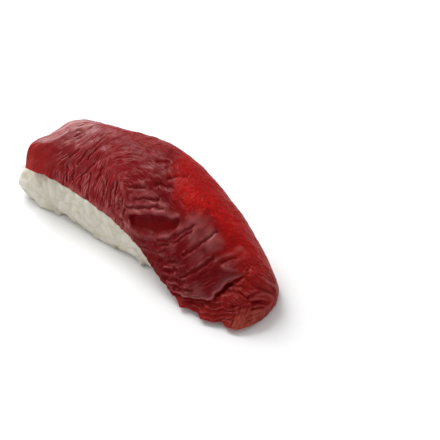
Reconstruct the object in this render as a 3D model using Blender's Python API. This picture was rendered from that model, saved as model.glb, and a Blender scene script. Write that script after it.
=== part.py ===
"""Tuna nigiri: a pressed oblong of rice with one slice of raw red tuna draped over it.

+X runs to the end where the slice drapes down to the board, -Y is the side where the rice
shows, +Z is up. All the lengths below are in millimetres.
"""
import math
import random

import bmesh
import bpy
import numpy as np
from mathutils import Matrix, Vector

MM = 0.001
CUT_BACK = 0.4
CUT_OUTSIDE = 2.5

# The slice: its outer line across the rice at stations along the length
STATIONS = (-34.2, -31.5, -28.0, -24.0, -18.0, -11.0, -3.0, 6.0, 14.0, 21.0, 27.0, 32.0, 36.0, 38.0)
LIP_Y = (-11.0, -10.7, -10.1, -9.8, -9.7, -10.0, -10.7, -12.1, -14.1, -15.2, -15.2, -14.3, -12.8, -9.8)
LIP_Z = (10.9, 10.9, 11.0, 10.9, 10.6, 10.2, 9.2, 7.0, 3.6, 1.4, 1.2, 1.2, 1.2, 1.0)
RIDGE_Y = (-8.6, -6.5, -4.0, -1.0, 0.8, -2.8, -7.8, -9.8, -11.4, -12.6, -12.4, -11.4, -9.6, -8.0)
RIDGE_Z = (16.4, 16.8, 17.8, 19.4, 20.8, 19.4, 15.6, 12.9, 10.3, 8.1, 6.8, 5.8, 4.6, 2.8)
CREST_Y = (-1.5, 0.5, 1.8, 3.2, 4.6, 4.0, 2.6, 2.0, 1.2, 0.0, -1.6, -3.0, -4.6, -5.5)
CREST_Z = (15.8, 17.6, 20.0, 21.2, 22.0, 22.6, 22.8, 22.1, 20.2, 17.6, 14.4, 11.0, 7.2, 3.4)
BACK_Y = (5.4, 6.4, 7.4, 7.6, 8.0, 8.6, 9.0, 8.6, 7.5, 6.1, 4.4, 2.6, 0.2, -2.4)
BACK_Z = (14.8, 16.9, 18.0, 18.7, 19.8, 21.1, 21.7, 20.5, 17.8, 14.8, 11.5, 8.4, 5.4, 3.0)
HEM_Y = (8.6, 9.4, 10.2, 10.6, 11.2, 11.8, 11.8, 11.4, 10.6, 9.4, 7.8, 5.6, 2.4, -1.2)
HEM_Z = (10.0, 9.9, 9.8, 9.7, 9.6, 9.4, 9.0, 8.4, 6.8, 4.8, 2.8, 1.8, 1.2, 1.0)
ROWS_Y = (LIP_Y, RIDGE_Y, CREST_Y, BACK_Y, HEM_Y)
ROWS_Z = (LIP_Z, RIDGE_Z, CREST_Z, BACK_Z, HEM_Z)
THICKNESS = (5.0, 5.6, 6.2, 6.6, 7.0, 7.2, 7.0, 6.8, 6.8, 7.0, 7.2, 7.4, 8.0, 8.0)
LIP_ROUND = 4.0
LIP_TAPER = 9.0
LIP_SHARE = 0.55
LIP_FLAT = 1.5
LIP_LEAST = 0.15
AIM_SPREAD = 0.35
AIM_DROP = 1.4
END_ROUND = 0.6
END_STEPS = (0.15, 0.45)
SLICE_ROWS = 64
SLICE_OUTER = 34
SLICE_INNER = 12

# Cuts and creases in the slice: where each starts and ends, as the place along the length
# and the way up from the lower lip, then its half width and its depth
CREASES = (
    (0.8, 4.2, 12.6, 14.2, 1.6, 1.3),
    (-0.2, 8.4, 6.2, 12.5, 0.9, 0.5),
    (16.9, 16.3, 12.7, 10.2, 0.9, 0.4),
    (22.4, 18.3, 20.8, 14.1, 0.9, 0.8),
    (20.8, 14.1, 18.0, 10.1, 0.9, 0.6),
    (24.8, 13.0, 22.3, 9.0, 0.9, 0.45),
    (22.3, 9.0, 19.4, 5.5, 0.9, 0.35),
    (26.9, 13.0, 28.9, 15.0, 0.9, 0.45),
    (18.0, 2.0, 23.2, 4.6, 0.9, 0.3),
)
# The rim of the last flap, from the lower lip up, with the torn meat sunk beyond it
FLAP_X = (17.5, 20.5, 24.1, 26.8, 28.3, 28.9, 29.7, 31.5, 32.3, 34.5)
FLAP_UP = (0.8, 2.1, 3.0, 3.9, 4.9, 6.9, 9.1, 11.1, 12.4, 15.0)
FLAP_STEP = 1.5
FLAP_SLOPE = 1.9
FLAP_FADE = 5.0
# Lumps of folded meat at the torn end: place along, way up, radius and height
LUMPS = (
    (32.8, 6.1, 1.9, 1.5),
    (33.0, 9.6, 1.9, 1.3),
    (36.2, 8.8, 2.0, 1.3),
    (37.2, 4.6, 1.9, 1.0),
    (30.6, 2.8, 2.0, 0.9),
    (34.4, 2.6, 1.7, 0.8),
    (34.6, 12.4, 2.4, 0.8),
)
RAGGED_FROM = 19.0
RAGGED_FADE = 2.5
RAGGED_LEAST = 0.36
RAGGED_OUT = 0.6
RAGGED_TIP = 21.2
RAGGED_PITCH = 0.85
NICK_OUT = 0.2
NICK_PITCH = 2.1
TORN_POINTS = 4
WAVE_PITCH = 3.1
WAVE_HEIGHT = 0.09
WAVE_ALONG = 0.8
WAVE_UP = 0.45
WAVE_BEND = 1.2
WAVE_BEND_UP = 4.0

# The rice: its plan and height at stations along the length
RICE_STATIONS = (-39.2, -37.8, -34.0, -26.0, -12.0, 0.0, 10.0, 18.0, 24.0)
RICE_NEAR = (-8.4, -10.4, -10.8, -10.6, -10.8, -10.7, -10.3, -9.0, -4.5)
RICE_FAR = (3.6, 7.0, 9.2, 10.2, 10.4, 10.4, 10.0, 8.8, 4.5)
RICE_TOP = (6.5, 8.6, 11.4, 14.4, 16.8, 16.8, 15.6, 12.8, 8.5)
RICE_ROWS = 22
RICE_ROUND = 13
END_CROWD = 0.35
BELLY_HEIGHT = 0.3
BELLY_TUCK = 0.07
BELLY_POWER = 2.6
END_TUCK = 4.0
END_TUCK_FROM = -32.0
# Where the block's near side meets the board, along its length
FOOT_STATIONS = (-39.2, -35.8, -32.5, -29.3, -27.3, -24.7, -22.2, -17.4, -12.4, -6.0, -1.5, 6.0, 14.0, 24.0)
FOOT_NEAR = (-7.2, -8.4, -9.4, -10.2, -10.1, -8.7, -8.9, -9.4, -10.2, -10.3, -9.7, -9.7, -9.2, -4.2)
GRAIN_LONG = 6.0
GRAIN_WIDE = 2.7
GRAIN_DEEP = 2.2
GRAIN_SPACING = 2.5
GRAIN_SINK = 0.5
GRAIN_TRIES = 9000
GRAIN_SIDES = 5
GRAIN_RING = 0.62
GRAIN_LIFT = 0.25
GRAIN_TILT = 0.15
GRAIN_SIZES = (0.85, 1.1)
GRAINS_FROM = 0.8
GRAIN_FACE = -0.7
NEAR_GRAINS_TO = 14.0
BACK_GRAINS_TO = 22.0
END_GRAINS_TO = 11.4
FLOOR_CLEAR = 0.12
SEED = 11

RICE_COLOUR = (0.60, 0.57, 0.49, 1.0)
TUNA_COLOUR = (0.20, 0.022, 0.022, 1.0)
RICE_ROUGHNESS = 0.45
TUNA_ROUGHNESS = 0.3


def clear_scene():
    for item in list(bpy.data.objects):
        bpy.data.objects.remove(item, do_unlink=True)


def collection_named(name):
    group = bpy.data.collections.new(name)
    bpy.context.scene.collection.children.link(group)
    return group


def finish_material(name, colour, roughness):
    material = bpy.data.materials.new(name)
    material.use_nodes = True
    shader = material.node_tree.nodes["Principled BSDF"]
    shader.inputs["Base Color"].default_value = colour
    shader.inputs["Roughness"].default_value = roughness
    shader.inputs["Metallic"].default_value = 0.0
    material.diffuse_color = colour
    return material


def mesh_object(name, points, faces, group, material):
    """A closed mesh object from points in millimetres, its faces turned outwards."""
    mesh = bpy.data.meshes.new(name)
    mesh.from_pydata([tuple(point * MM) for point in points], [], faces)
    body = bmesh.new()
    body.from_mesh(mesh)
    bmesh.ops.recalc_face_normals(body, faces=body.faces)
    bmesh.ops.triangulate(body, faces=[face for face in body.faces if len(face.verts) > 4])
    for face in body.faces:
        face.smooth = True
    body.to_mesh(mesh)
    body.free()
    item = bpy.data.objects.new(name, mesh)
    group.objects.link(item)
    if material:
        mesh.materials.append(material)
    return item


def along(x, stations, values):
    """A smooth curve through the values at the stations."""
    stations = np.asarray(stations, float)
    values = np.asarray(values, float)
    steps = np.diff(stations)
    rises = np.diff(values) / steps
    slopes = np.empty_like(values)
    slopes[1:-1] = (rises[1:] * steps[:-1] + rises[:-1] * steps[1:]) / (steps[:-1] + steps[1:])
    slopes[0] = rises[0]
    slopes[-1] = rises[-1]
    x = np.clip(x, stations[0], stations[-1])
    left = np.clip(np.searchsorted(stations, x) - 1, 0, len(stations) - 2)
    step = steps[left]
    t = (x - stations[left]) / step
    start = (1 + 2 * t) * (1 - t) ** 2 * values[left] + t * (1 - t) ** 2 * step * slopes[left]
    end = t * t * (3 - 2 * t) * values[left + 1] + t * t * (t - 1) * step * slopes[left + 1]
    return start + end


def outer_line(x, count):
    """Points (y, z) of the slice's outer line at x, and the way of each up from the lip."""
    knots_y = np.array([float(along(x, STATIONS, row)) for row in ROWS_Y])
    knots_z = np.array([float(along(x, STATIONS, row)) for row in ROWS_Z])
    ways = np.concatenate([[0.0], np.cumsum(np.hypot(np.diff(knots_y), np.diff(knots_z)))])
    up = np.linspace(0.0, ways[-1], count)
    return along(up, ways, knots_y), along(up, ways, knots_z), up


def segment_distance(x, up, x_start, up_start, x_end, up_end):
    run = np.array([x_end - x_start, up_end - up_start])
    share = ((x - x_start) * run[0] + (up - up_start) * run[1]) / run.dot(run)
    share = np.clip(share, 0.0, 1.0)
    return np.hypot(x - x_start - share * run[0], up - up_start - share * run[1])


def flap_relief(x, up):
    """The step down from the rim of the flap to the torn meat, which rises again slowly."""
    nearest = np.full(x.shape, 1e9)
    for i in range(len(FLAP_X) - 1):
        away = segment_distance(x, up, FLAP_X[i], FLAP_UP[i], FLAP_X[i + 1], FLAP_UP[i + 1])
        nearest = np.minimum(nearest, away)
    rim = along(x, FLAP_X, FLAP_UP)
    beyond = np.where((up < rim) & (x > FLAP_X[0]), nearest, 0.0)
    sunk = np.clip(beyond / FLAP_SLOPE, 0.0, 1.0)
    return -FLAP_STEP * sunk * np.exp(-beyond / FLAP_FADE)


def relief(x, up):
    """How far the slice's face stands out at a place along and a way up from the lip."""
    height = flap_relief(x, up)
    for x_start, up_start, x_end, up_end, half, depth in CREASES:
        away = segment_distance(x, up, x_start, up_start, x_end, up_end)
        height -= depth * np.exp(-((away / half) ** 2))
    for x_lump, up_lump, radius, rise in LUMPS:
        away = np.hypot(x - x_lump, up - up_lump)
        height += rise * np.exp(-((away / radius) ** 2))
    slant = x * WAVE_ALONG - up * WAVE_UP + WAVE_BEND * np.sin(up / WAVE_BEND_UP)
    height += WAVE_HEIGHT * np.sin(2 * np.pi * slant / WAVE_PITCH)
    return height


def slice_loop(x, shaped):
    """One closed loop around the slice: its outer line from lip to hem, its inner one back."""
    y, z, up = outer_line(x, SLICE_OUTER)
    tangent = np.hypot(np.gradient(y), np.gradient(z))
    out_y = -np.gradient(z) / tangent
    out_z = np.gradient(y) / tangent
    edge = np.minimum(up, up[-1] - up)
    nose = np.sqrt(1 - (1 - np.clip(edge / LIP_ROUND, 0, 1)) ** 2)
    deep = float(along(x, STATIONS, THICKNESS)) * nose
    deep *= LIP_SHARE + (1 - LIP_SHARE) * np.clip(edge / LIP_TAPER, 0, 1)
    aim = 0.5 + (up / up[-1] - 0.5) * AIM_SPREAD
    aim_y = y[0] + (y[-1] - y[0]) * aim
    aim_z = np.maximum(z[0] + (z[-1] - z[0]) * aim - AIM_DROP, 0.0)
    reach = np.hypot(aim_y - y, aim_z - z)
    share = np.minimum(deep / reach, 1.0)
    pick = np.linspace(0, SLICE_OUTER - 1, SLICE_INNER + 2)[1:-1][::-1]
    order = np.arange(SLICE_OUTER)
    inner_y = np.interp(pick, order, y + (aim_y - y) * share)
    inner_z = np.interp(pick, order, z + (aim_z - z) * share)
    if shaped:
        stand = relief(np.full(SLICE_OUTER, x), up) * np.clip(edge / LIP_FLAT, LIP_LEAST, 1)
        y = y + out_y * stand
        z = z + out_z * stand
    loop = np.stack(
        [
            np.full(SLICE_OUTER + SLICE_INNER, x),
            np.concatenate([y, inner_y]),
            np.concatenate([z, inner_z]),
        ],
        1,
    )
    if shaped:
        for i in range(TORN_POINTS):
            loop[i, 1] -= ragged(x, up[i])
    loop[:, 2] = np.maximum(loop[:, 2], 0.0)
    return loop


def widened(loop):
    """The loop moved out all round: a little on the inside, further outside and at the lips."""
    run = np.roll(loop, -1, axis=0) - np.roll(loop, 1, axis=0)
    run /= np.linalg.norm(run, axis=1, keepdims=True)
    extra = np.where(np.arange(len(loop)) < SLICE_OUTER, CUT_OUTSIDE, CUT_BACK)
    wide = loop.copy()
    wide[:, 1] -= run[:, 2] * extra
    wide[:, 2] += run[:, 1] * extra
    for end, inward in ((0, 1), (SLICE_OUTER - 1, -1)):
        wide[end] = loop[end] - (0, inward * CUT_OUTSIDE, CUT_BACK)
    return wide


def ragged(x, up):
    """The torn edge of the near end: how far the lip is pulled out or in."""
    tips = math.cos((x - RAGGED_TIP) * RAGGED_PITCH)
    nicks = math.sin(x * NICK_PITCH)
    grow = min(max((x - RAGGED_FROM) / RAGGED_FADE, 0.0), 1.0)
    return (RAGGED_LEAST + RAGGED_OUT * tips + NICK_OUT * nicks) * grow * math.exp(-up / RAGGED_FADE)


def end_rounded(loop):
    """Draws a loop in towards its middle where the far end's cut edge is rounded off."""
    left = np.clip(1 - (loop[0, 0] - STATIONS[0]) / END_ROUND, 0, 1)
    middle = loop.mean(axis=0)
    away = np.linalg.norm(loop - middle, axis=1, keepdims=True)
    pull = END_ROUND * (1 - math.sqrt(1 - left * left))
    return loop + (middle - loop) / away * pull


def slice_rows():
    steps = np.linspace(0, 1, SLICE_ROWS - 2)
    xs = STATIONS[0] + (STATIONS[-1] - STATIONS[0]) * steps
    return np.sort(np.concatenate([xs, STATIONS[0] + END_ROUND * np.array(END_STEPS)]))


def slice_loops():
    return [end_rounded(slice_loop(x, True)) for x in slice_rows()]


def clearance_loops():
    """The slice's plain shape with the gap added all round, which the rice is cut back to."""
    loops = [widened(slice_loop(x, False)) for x in slice_rows()]
    loops[0][:, 0] -= CUT_BACK
    loops[-1][:, 0] += CUT_BACK
    return loops


def loft(loops):
    """Points and faces of a closed skin over the loops, with a fan over each end."""
    around = len(loops[0])
    points = list(np.concatenate(loops))
    faces = []
    for i in range(len(loops) - 1):
        for j in range(around):
            a = i * around + j
            b = i * around + (j + 1) % around
            faces.append((a, a + around, b + around, b))
    for i, turn in ((0, 1), (len(loops) - 1, -1)):
        points.append(loops[i].mean(axis=0))
        middle = len(points) - 1
        for j in range(around):
            face = (i * around + j, i * around + (j + 1) % around, middle)
            faces.append(face[::turn])
    return points, faces


def rice_loop(x):
    near = float(along(x, RICE_STATIONS, RICE_NEAR))
    far = float(along(x, RICE_STATIONS, RICE_FAR))
    top = float(along(x, RICE_STATIONS, RICE_TOP))
    middle = (near + far) / 2
    half = (far - near) / 2
    shares = 1 - np.cos(np.linspace(0, np.pi / 2, RICE_ROUND // 2 + 1))
    shares = shares[::-1] / shares[-1]
    shares = 1 - shares
    over = np.clip((shares - BELLY_HEIGHT) / (1 - BELLY_HEIGHT), 0, 1)
    under = np.clip((BELLY_HEIGHT - shares) / BELLY_HEIGHT, 0, 1)
    wide = half * (1 - over**BELLY_POWER) ** (1 / BELLY_POWER)
    foot = float(along(x, FOOT_STATIONS, FOOT_NEAR))
    near_wide = wide - (foot - near) * under**2
    far_wide = wide * (1 - BELLY_TUCK * under**2)
    tucked = END_TUCK * np.clip((END_TUCK_FROM - x) / (END_TUCK_FROM - RICE_STATIONS[0]), 0, 1)
    xs = x + tucked * under**2
    left = [(a, middle - w, top * s) for a, w, s in zip(xs, near_wide, shares)]
    right = [(a, middle + w, top * s) for a, w, s in zip(xs, far_wide, shares)][:-1][::-1]
    return np.array(left + right)


def rice_core(group, material):
    bend = np.linspace(0, np.pi, RICE_ROWS)
    middle = (RICE_STATIONS[0] + RICE_STATIONS[-1]) / 2
    half = (RICE_STATIONS[-1] - RICE_STATIONS[0]) / 2
    xs = middle - half * np.cos(bend) * (1 - END_CROWD + END_CROWD * np.abs(np.cos(bend)))
    points, faces = loft([rice_loop(x) for x in xs])
    return mesh_object("rice", points, faces, group, material)


def grain_places(core, lots):
    """Evenly spread places on the sides of the core that show, each with the way out there."""
    body = bmesh.new()
    body.from_mesh(core.data)
    bmesh.ops.triangulate(body, faces=body.faces)
    body.faces.ensure_lookup_table()
    areas = [face.calc_area() for face in body.faces]
    chosen = lots.choices(list(body.faces), weights=areas, k=GRAIN_TRIES)
    places = []
    for face in chosen:
        a, b, c = (vert.co for vert in face.verts)
        s = math.sqrt(lots.random())
        t = lots.random()
        point = (a * (1 - s) + b * s * (1 - t) + c * s * t) / MM
        out = face.normal.copy()
        near_side = out.y < 0
        edge = float(along(point.x, STATIONS, LIP_Z if near_side else HEM_Z))
        if point.x < STATIONS[0]:
            edge = END_GRAINS_TO
        hidden = point.x > (NEAR_GRAINS_TO if near_side else BACK_GRAINS_TO)
        if hidden or not GRAINS_FROM < point.z < edge or out.z < GRAIN_FACE:
            continue
        if all((point - other).length > GRAIN_SPACING for other, _ in places):
            places.append((point, out))
    body.free()
    return places


def grain(name, place, out, lots, group):
    """One cooked grain of rice lying along the face of the core."""
    body = bmesh.new()
    rings = []
    for share in (-GRAIN_RING, 0.0, GRAIN_RING):
        swell = math.sqrt(1 - share * share)
        ring = []
        for side in range(GRAIN_SIDES):
            turn = 2 * math.pi * side / GRAIN_SIDES
            wide = swell * math.cos(turn) * GRAIN_WIDE / 2
            deep = swell * math.sin(turn) * GRAIN_DEEP / 2
            ring.append(body.verts.new((share * GRAIN_LONG / 2, wide, deep)))
        rings.append(ring)
    for first, second in zip(rings, rings[1:]):
        for side in range(GRAIN_SIDES):
            after = (side + 1) % GRAIN_SIDES
            body.faces.new((first[side], first[after], second[after], second[side]))
    for ring, end in ((rings[0], -1), (rings[-1], 1)):
        tip = body.verts.new((end * GRAIN_LONG / 2, 0, 0))
        for side in range(GRAIN_SIDES):
            body.faces.new((ring[side], ring[(side + 1) % GRAIN_SIDES], tip))
    size = Matrix.Scale(lots.uniform(*GRAIN_SIZES), 4)
    lay = out.to_track_quat("Z", "Y").to_matrix().to_4x4()
    spin = Matrix.Rotation(lots.uniform(0, math.pi), 4, "Z")
    tilt = Matrix.Rotation(lots.gauss(0, GRAIN_TILT), 4, "Y")
    sunk = place - out * (GRAIN_SINK + lots.uniform(-GRAIN_LIFT, GRAIN_LIFT))
    pose = Matrix.Translation(sunk) @ lay @ spin @ tilt @ size
    bmesh.ops.transform(body, matrix=pose, verts=body.verts)
    for vert in body.verts:
        vert.co.z = max(vert.co.z, FLOOR_CLEAR)
        vert.co *= MM
    bmesh.ops.recalc_face_normals(body, faces=body.faces)
    mesh = bpy.data.meshes.new(name)
    body.to_mesh(mesh)
    body.free()
    item = bpy.data.objects.new(name, mesh)
    group.objects.link(item)
    return item


def join(item, operation, group=None, cutter=None):
    """Applies one Boolean with a collection of pieces or with one cutter."""
    change = item.modifiers.new(operation.lower(), "BOOLEAN")
    change.operation = operation
    change.solver = "MANIFOLD"
    if group:
        change.operand_type = "COLLECTION"
        change.collection = group
    else:
        change.object = cutter
    bpy.context.view_layer.update()
    graph = bpy.context.evaluated_depsgraph_get()
    result = bpy.data.meshes.new_from_object(item.evaluated_get(graph))
    item.modifiers.clear()
    item.data = result


def keep_largest(item):
    """Drops the loose scraps a cut leaves."""
    body = bmesh.new()
    body.from_mesh(item.data)
    left = set(body.verts)
    lumps = []
    while left:
        lump = set()
        reach = [left.pop()]
        while reach:
            vert = reach.pop()
            lump.add(vert)
            for edge in vert.link_edges:
                other = edge.other_vert(vert)
                if other in left:
                    left.discard(other)
                    reach.append(other)
        lumps.append(lump)
    lumps.sort(key=len)
    for lump in lumps[:-1]:
        bmesh.ops.delete(body, geom=list(lump), context="VERTS")
    for face in body.faces:
        face.smooth = True
    body.to_mesh(item.data)
    body.free()


def stand_on_origin(items):
    """Moves the whole piece so that the origin is the bottom centre of its bounding box."""
    corners = np.array([vert.co for item in items for vert in item.data.vertices])
    low = corners.min(axis=0)
    high = corners.max(axis=0)
    shift = Vector((-(low[0] + high[0]) / 2, -(low[1] + high[1]) / 2, -low[2]))
    for item in items:
        item.data.transform(Matrix.Translation(shift))


def remove_all(group):
    for item in list(group.objects):
        bpy.data.objects.remove(item, do_unlink=True)


clear_scene()
parts = collection_named("tuna_nigiri")
helpers = collection_named("helpers")
grains = collection_named("grains")
lots = random.Random(SEED)

tuna_red = finish_material("raw_tuna", TUNA_COLOUR, TUNA_ROUGHNESS)
rice_white = finish_material("vinegared_rice", RICE_COLOUR, RICE_ROUGHNESS)

tuna_slice = mesh_object("tuna_slice", *loft(slice_loops()), parts, tuna_red)

rice = rice_core(parts, rice_white)
for number, (place, out) in enumerate(grain_places(rice, lots)):
    grain(f"grain_{number:03d}", Vector(place), out, lots, grains)
join(rice, "UNION", group=grains)
remove_all(grains)

hollow = mesh_object("slice_clearance", *loft(clearance_loops()), helpers, None)
hollow.hide_render = True
hollow.display_type = "WIRE"
join(rice, "DIFFERENCE", cutter=hollow)
keep_largest(rice)
remove_all(helpers)
stand_on_origin([rice, tuna_slice])
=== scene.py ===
"""Tuna nigiri: a hand-pressed block of vinegared rice under one slice of raw red tuna.

The script follows the piece as it is put together: first the rice is pressed, then the slice
is laid over it, and then it is set on a pale table under a soft light. Lengths are in
millimetres on the working axes, +X along the piece to the end where the slice drapes down.
"""

import math

import bmesh
import bpy
import numpy as np
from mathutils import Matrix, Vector


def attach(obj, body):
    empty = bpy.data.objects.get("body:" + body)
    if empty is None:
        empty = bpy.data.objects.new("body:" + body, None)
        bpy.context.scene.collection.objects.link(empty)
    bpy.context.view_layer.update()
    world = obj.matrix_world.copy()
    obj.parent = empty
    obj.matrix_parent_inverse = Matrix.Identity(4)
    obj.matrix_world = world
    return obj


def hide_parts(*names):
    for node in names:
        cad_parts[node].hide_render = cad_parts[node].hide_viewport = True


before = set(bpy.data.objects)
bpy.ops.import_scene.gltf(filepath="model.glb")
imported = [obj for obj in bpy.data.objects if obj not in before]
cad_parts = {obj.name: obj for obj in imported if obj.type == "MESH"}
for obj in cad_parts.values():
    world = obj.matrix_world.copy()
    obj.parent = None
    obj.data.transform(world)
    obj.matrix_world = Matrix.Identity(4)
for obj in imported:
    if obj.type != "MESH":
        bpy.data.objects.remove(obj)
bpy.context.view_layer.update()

# The rice block
# A mouthful of cooked short-grain rice, seasoned with vinegar and pressed in the hand to an
# oblong. The grains stick to each other and lie flat on the sides, where the palm closed them.

MM = 0.001
# From the working axes to the frame's origin, under the middle of the piece
TO_ORIGIN = np.array((1.15, 2.17, 0.0))
# The block's near side, far side and top at stations along its length
RICE_STATIONS = (-39.2, -37.8, -34.0, -26.0, -12.0, 0.0, 10.0, 18.0, 24.0)
RICE_NEAR = (-8.4, -10.4, -10.8, -10.6, -10.8, -10.7, -10.3, -9.0, -4.5)
RICE_FAR = (3.6, 7.0, 9.2, 10.2, 10.4, 10.4, 10.0, 8.8, 4.5)
RICE_TOP = (6.5, 8.6, 11.4, 14.4, 16.8, 16.8, 15.6, 12.8, 8.5)
# The core: points along it and up each side, and how far it lies inside the block's lines
RICE_ROWS = 60
RICE_SIDE = 14
RICE_INSET = 0.35
# The sides bulge most at a share of the height, and draw in below it and over it
BELLY_HEIGHT = 0.3
BELLY_TUCK = 0.07
BELLY_POWER = 2.6
# The far end draws in towards its foot. The core's points crowd at both ends, eased a little
END_TUCK = 5.2
END_TUCK_FROM = -32.0
END_EASE = 0.35
# Where the block's near side meets the board, along its length
FOOT_STATIONS = (
    -39.2, -35.8, -32.5, -29.3, -27.3, -24.7, -22.2, -17.4, -12.4, -6.0, -1.5, 6.0, 14.0, 24.0
)
FOOT_NEAR = (-7.2, -8.4, -9.9, -11.0, -10.6, -8.7, -8.9, -9.4, -10.2, -10.3, -9.7, -9.7, -9.2, -4.2)
# A cooked grain: half its length, width and depth, and how grains vary, sink in and tilt
GRAIN_HALF = np.array((3.0, 1.3, 1.05))
GRAIN_SIZES = (0.85, 1.08)
GRAIN_SPACING = 2.05
GRAIN_TRIES = 14000
GRAIN_SINK = 0.55
GRAIN_LIFT = 0.22
GRAIN_TILT = 0.16
GRAIN_BLUNT = 2.6
GRAIN_PRESSED = 0.36
GRAIN_RINGS = 9
GRAIN_SIDES = 12
# No grain hangs under the block's rim, and low grains at the far end lie level
UNDER_FACE = -0.7
UNDER_EDGE = 2.6
LAID_FLAT_UNDER = 4.0
# How far past the block's lines the palms closed over its grains
PALM_PROUD = 0.25
# The skin over the grains, how it is softened, and how wide a seam is
RICE_SKIN = 0.34
SOFTEN_SHARE = 0.5
SOFTEN_TIMES = 4
SEAM_HALF = 0.16
FAR_OFF = 9.0
# Painted shade in nooks between grains at the block's foot: place, then how far each reaches
NOOKS = ((-24.7, -8.7, 0.4, 1.0), (-4.2, -10.2, 0.5, 0.9), (5.0, -9.8, 0.4, 1.0))
RICE_SEED = 23
MILKY_GRAIN = (0.58, 0.54, 0.44, 1)
PALE_GRAIN = (0.69, 0.66, 0.57, 1)
# Painted shade between grains: darker and yellower than a grain
SEAM_SHADE_BEIGE = (0.46, 0.41, 0.29, 1)
NOOK_SHADE_BROWN = (0.20, 0.16, 0.07, 1)


def along(x, stations, values):
    """A smooth curve through the values at the stations."""
    stations = np.asarray(stations, float)
    values = np.asarray(values, float)
    steps = np.diff(stations)
    rises = np.diff(values) / steps
    slopes = np.empty_like(values)
    slopes[1:-1] = (rises[1:] * steps[:-1] + rises[:-1] * steps[1:]) / (steps[:-1] + steps[1:])
    slopes[0] = rises[0]
    slopes[-1] = rises[-1]
    x = np.clip(x, stations[0], stations[-1])
    left = np.clip(np.searchsorted(stations, x) - 1, 0, len(stations) - 2)
    step = steps[left]
    t = (x - stations[left]) / step
    start = (1 + 2 * t) * (1 - t) ** 2 * values[left] + t * (1 - t) ** 2 * step * slopes[left]
    end = t * t * (3 - 2 * t) * values[left + 1] + t * t * (t - 1) * step * slopes[left + 1]
    return start + end


def bell(away, reach):
    """1 in the middle, fading out over the reach."""
    return np.exp(-((away / reach) ** 2))


def placed(name, data):
    """A new object in the scene."""
    item = bpy.data.objects.new(name, data)
    bpy.context.scene.collection.objects.link(item)
    return item


def skin_object(name, points, faces):
    """A closed, smooth mesh object from points in millimetres on the working axes."""
    mesh = bpy.data.meshes.new(name)
    mesh.from_pydata(((points + TO_ORIGIN) * MM).tolist(), [], faces)
    body = bmesh.new()
    body.from_mesh(mesh)
    bmesh.ops.recalc_face_normals(body, faces=body.faces)
    body.to_mesh(mesh)
    body.free()
    mesh.shade_smooth()
    return placed(name, mesh)


def loft_faces(rows, around):
    """Quads between closed loops of points, which follow each other row by row."""
    faces = []
    for i in range(rows - 1):
        for j in range(around):
            a = i * around + j
            b = i * around + (j + 1) % around
            faces.append((a, a + around, b + around, b))
    return faces


def capped_loft(loops):
    """Points and faces of closed loops joined row by row, with a fan over each end."""
    rows = len(loops)
    around = len(loops[0])
    points = np.concatenate(loops + [loops[0].mean(axis=0)[None], loops[-1].mean(axis=0)[None]])
    faces = loft_faces(rows, around)
    last = (rows - 1) * around
    for j in range(around):
        after = (j + 1) % around
        faces.append((j, after, rows * around))
        faces.append((last + after, last + j, rows * around + 1))
    return points, faces


def rice_lines(x, out):
    """The block's near side, far side and top at x, moved out by so much."""
    near = along(x, RICE_STATIONS, RICE_NEAR) - out
    far = along(x, RICE_STATIONS, RICE_FAR) + out
    return near, far, along(x, RICE_STATIONS, RICE_TOP) + out


def rice_loop(x):
    """The block's outline across its length at x, from its near foot over to its far foot."""
    near, far, top = rice_lines(x, -RICE_INSET)
    foot = along(x, FOOT_STATIONS, FOOT_NEAR) + RICE_INSET
    middle = (near + far) / 2
    half = (far - near) / 2
    shares = np.sin(np.linspace(0, math.pi / 2, RICE_SIDE))
    over = np.clip((shares - BELLY_HEIGHT) / (1 - BELLY_HEIGHT), 0, 1)
    under = np.clip((BELLY_HEIGHT - shares) / BELLY_HEIGHT, 0, 1)
    wide = half * (1 - over**BELLY_POWER) ** (1 / BELLY_POWER)
    near_wide = wide - (foot - near) * under**2
    far_wide = wide * (1 - BELLY_TUCK * under**2)
    tucked = END_TUCK * np.clip((END_TUCK_FROM - x) / (END_TUCK_FROM - RICE_STATIONS[0]), 0, 1)
    xs = x + tucked * under**2
    left = np.stack([xs, middle - near_wide, top * shares], 1)
    right = np.stack([xs, middle + far_wide, top * shares], 1)[:-1][::-1]
    return np.concatenate([left, right])


def rice_core_skin():
    """Points and faces of the plain block inside the grains."""
    bend = np.linspace(0, math.pi, RICE_ROWS)
    low = RICE_STATIONS[0] + RICE_INSET
    high = RICE_STATIONS[-1] - RICE_INSET
    crowd = 1 - END_EASE + END_EASE * np.abs(np.cos(bend))
    xs = (low + high) / 2 - (high - low) / 2 * np.cos(bend) * crowd
    return capped_loft([rice_loop(x) for x in xs])


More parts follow.
